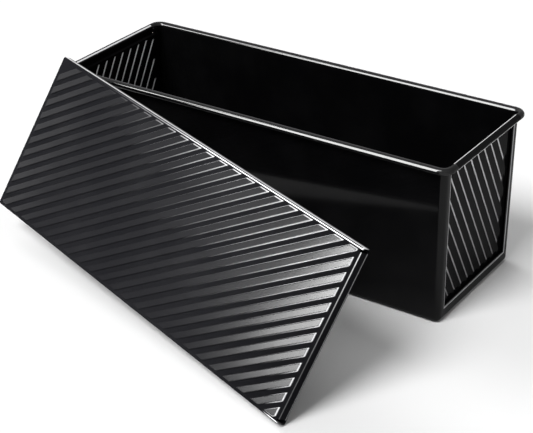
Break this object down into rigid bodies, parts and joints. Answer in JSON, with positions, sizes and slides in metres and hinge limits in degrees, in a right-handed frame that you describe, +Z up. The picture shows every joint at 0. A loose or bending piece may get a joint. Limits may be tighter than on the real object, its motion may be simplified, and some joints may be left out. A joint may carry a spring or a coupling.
{
  "type": "pullman loaf pan",
  "caption": "Long straight-sided loaf pan of folded coated steel with wired rim and ribbed end panels, and its ribbed slide-on lid leaning on the near rim.",
  "frame": {"origin": "middle of the pan's flat underside, on the floor", "axes": "+X along the pan towards its right end, +Y towards the far long wall, away from the lid, +Z up"},
  "size_m": [0.3236, 0.2526, 0.1199],
  "materials": {
    "coated_body": "glossy black release coating on smooth steel sheet",
    "coated_end": "glossy black release coating on pressed steel sheet",
    "coated_lid": "glossy black release coating on pressed steel sheet",
    "steel_wire": "plain drawn steel wire"
  },
  "bodies": {
    "pan": {"body_sheet": "coated_body", "right_end_panel": "coated_end", "left_end_panel": "coated_end", "rim_wire": "steel_wire"},
    "lid": {"lid": "coated_lid"}
  },
  "joints": [
    {"name": "lid_lift", "type": "slide", "parent": "pan", "child": "lid", "axis": [0, 0, 1], "range_m": [0, 0.15]}
  ]
}
